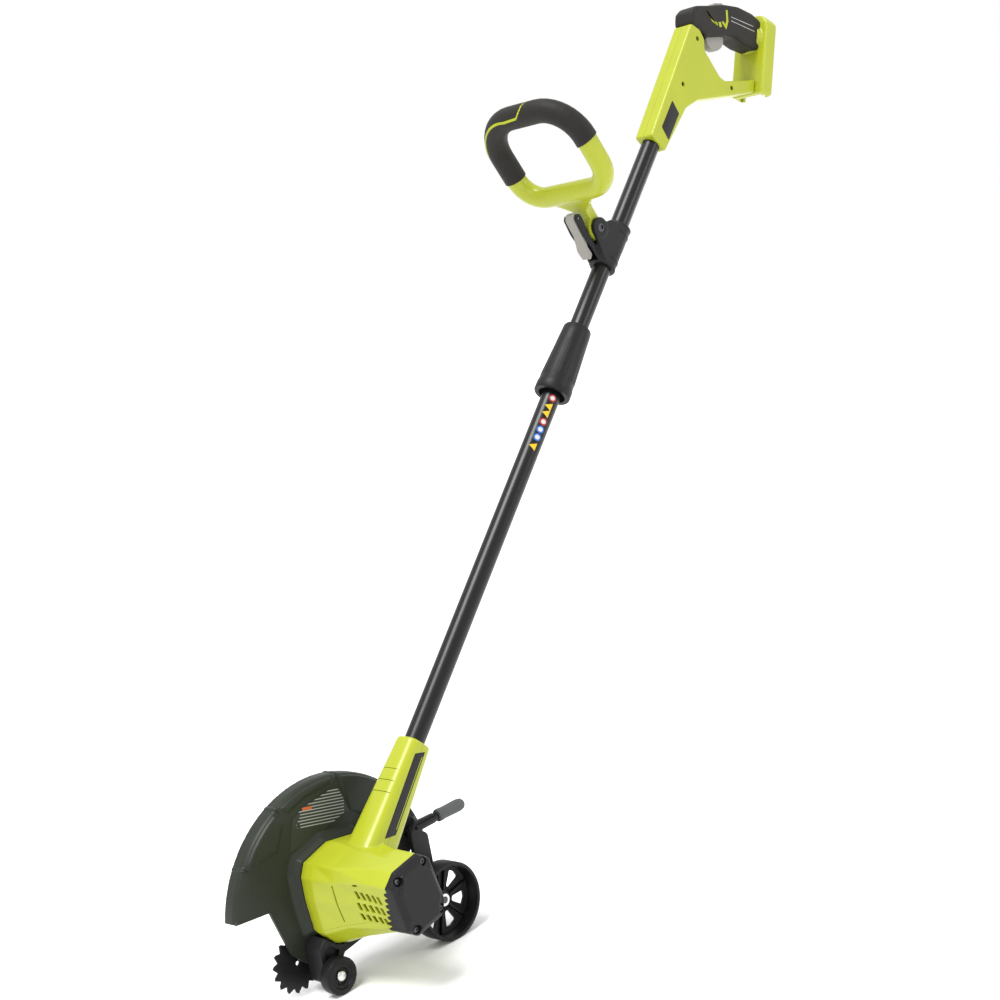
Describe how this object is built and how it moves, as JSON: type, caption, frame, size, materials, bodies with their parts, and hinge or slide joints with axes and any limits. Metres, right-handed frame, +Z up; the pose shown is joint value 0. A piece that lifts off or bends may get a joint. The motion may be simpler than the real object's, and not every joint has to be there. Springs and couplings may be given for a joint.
{
  "type": "battery lawn edger",
  "caption": "Battery lawn edger: a guarded blade and motor head on two wheels, a jointed boom with a loop handle, and a trigger grip with an empty battery dock.",
  "frame": {"origin": "bottom centre of the machine's box, on the ground", "axes": "+X forward along the cut, +Y to the motor side, +Z up"},
  "size_m": [1.137, 0.1834, 1.031],
  "materials": {
    "guard_plastic": "fine moulded texture, semi-gloss",
    "lime_plastic": "smooth moulded, satin",
    "dark_plastic": "fine moulded texture",
    "grip_rubber": "overmoulded, matte",
    "lever_rubber": "matte grey",
    "wheel_plastic": "worn matte tread",
    "pale_plastic": "light grey, satin",
    "tube_paint": "black powder coat, satin",
    "blade_steel": "black coated, ground at the teeth",
    "bright_steel": "zinc plated",
    "dark_screws": "black oxide",
    "alloy_case": "die cast",
    "motor_steel": "zinc plated",
    "magnet_ferrite": "sintered",
    "winding_copper": "enamelled copper",
    "contact_brass": "stamped",
    "label_film": "printed film, blank"
  },
  "bodies": {
    "head": {"guard": "guard_plastic", "guard_label": "label_film", "guard_screws": "dark_screws", "gear_case": "alloy_case", "gear_case_cover": "alloy_case", "housing_front_shell": "lime_plastic", "housing_rear_shell": "lime_plastic", "housing_screws": "dark_screws", "end_cap": "dark_plastic", "end_cap_screws": "dark_screws", "motor_can": "motor_steel", "motor_magnets": "magnet_ferrite", "brush_holder": "dark_plastic", "motor_bearings": "bright_steel", "spindle_bearings": "bright_steel", "wheel_bracket": "dark_plastic", "guide_wheel_bolt": "bright_steel", "depth_quadrant": "dark_plastic", "quadrant_screws": "dark_screws", "arm_pivot_pin": "bright_steel", "lower_tube": "tube_paint", "boom_spigot": "alloy_case", "boom_collet": "dark_plastic", "neck_strip": "label_film"},
    "blade_drive": {"spindle": "bright_steel", "drive_gear": "bright_steel", "inner_flange": "alloy_case", "blade": "blade_steel", "outer_flange": "alloy_case", "blade_nut": "bright_steel"},
    "motor_rotor": {"rotor_shaft": "bright_steel", "armature": "winding_copper", "commutator": "winding_copper", "pinion": "bright_steel", "cooling_fan": "dark_plastic"},
    "guide_wheel_body": {"guide_wheel": "wheel_plastic"},
    "depth_arm_body": {"depth_arm": "dark_plastic", "depth_lever_grip": "lever_rubber", "rear_axle": "bright_steel"},
    "rear_wheel_body": {"rear_wheel": "wheel_plastic"},
    "collar_body": {"lock_collar": "dark_plastic"},
    "upper_boom": {"upper_tube": "tube_paint", "handle_bracket": "dark_plastic", "bracket_pin": "dark_screws", "cam_pin": "bright_steel", "handle_left_shell": "lime_plastic", "handle_right_shell": "lime_plastic", "handle_screws": "dark_screws", "grip_sleeve": "grip_rubber", "battery_dock": "lime_plastic", "dock_terminals": "contact_brass", "trigger_switch": "dark_plastic", "name_plate": "label_film"},
    "trigger_body": {"trigger": "pale_plastic"},
    "button_body": {"lock_off_button": "pale_plastic"},
    "front_handle": {"loop_frame": "lime_plastic", "loop_grip": "grip_rubber"},
    "cam_body": {"cam_lever": "pale_plastic"}
  },
  "joints": [
    {"name": "blade_spin", "type": "hinge", "parent": "head", "child": "blade_drive", "pos_m": [0.42919, -0.0599, 0.0798], "axis": [0, 1, 0], "continuous": true},
    {"name": "motor_spin", "type": "hinge", "parent": "head", "child": "motor_rotor", "pos_m": [0.438, -0.0599, 0.11264], "axis": [0, 1, 0], "continuous": true},
    {"name": "guide_wheel_roll", "type": "hinge", "parent": "head", "child": "guide_wheel_body", "pos_m": [0.47819, -0.0249, 0.0206], "axis": [0, 1, 0], "continuous": true},
    {"name": "depth_arm_swing", "type": "hinge", "parent": "head", "child": "depth_arm_body", "pos_m": [0.3832, -0.0319, 0.056], "axis": [0, 1, 0], "range_deg": [-30, 0]},
    {"name": "rear_wheel_roll", "type": "hinge", "parent": "depth_arm_body", "child": "rear_wheel_body", "pos_m": [0.32349, -0.0079, 0.0445], "axis": [0, 1, 0], "continuous": true},
    {"name": "collar_turn", "type": "hinge", "parent": "head", "child": "collar_body", "pos_m": [-0.03197, -0.0067, 0.60389], "axis": [-0.6947, 0, 0.7193], "range_deg": [0, 60]},
    {"name": "upper_boom_pull", "type": "slide", "parent": "head", "child": "upper_boom", "axis": [-0.6947, 0, 0.7193], "range_m": [0, 0.05]},
    {"name": "trigger_squeeze", "type": "hinge", "parent": "upper_boom", "child": "trigger_body", "pos_m": [-0.4228, -0.0067, 0.986], "axis": [0, 1, 0], "range_deg": [0, 10], "stiffness_Nm_per_rad": 0.3, "springref_deg": -11.46},
    {"name": "lock_off_press", "type": "slide", "parent": "upper_boom", "child": "button_body", "axis": [0, 0, -1], "range_m": [0, 0.003], "stiffness_N_per_m": 400, "springref_m": -0.003},
    {"name": "front_handle_tilt", "type": "hinge", "parent": "upper_boom", "child": "front_handle", "pos_m": [-0.12546, -0.0067, 0.75828], "axis": [0, 1, 0], "range_deg": [-60, 0]},
    {"name": "cam_lever_flip", "type": "hinge", "parent": "upper_boom", "child": "cam_body", "pos_m": [-0.09336, -0.0067, 0.77399], "axis": [0, -1, 0], "range_deg": [0, 60]}
  ],
  "couplings": [
    {"joint": "motor_spin", "follows": "blade_spin", "ratio": -3.8571}
  ]
}
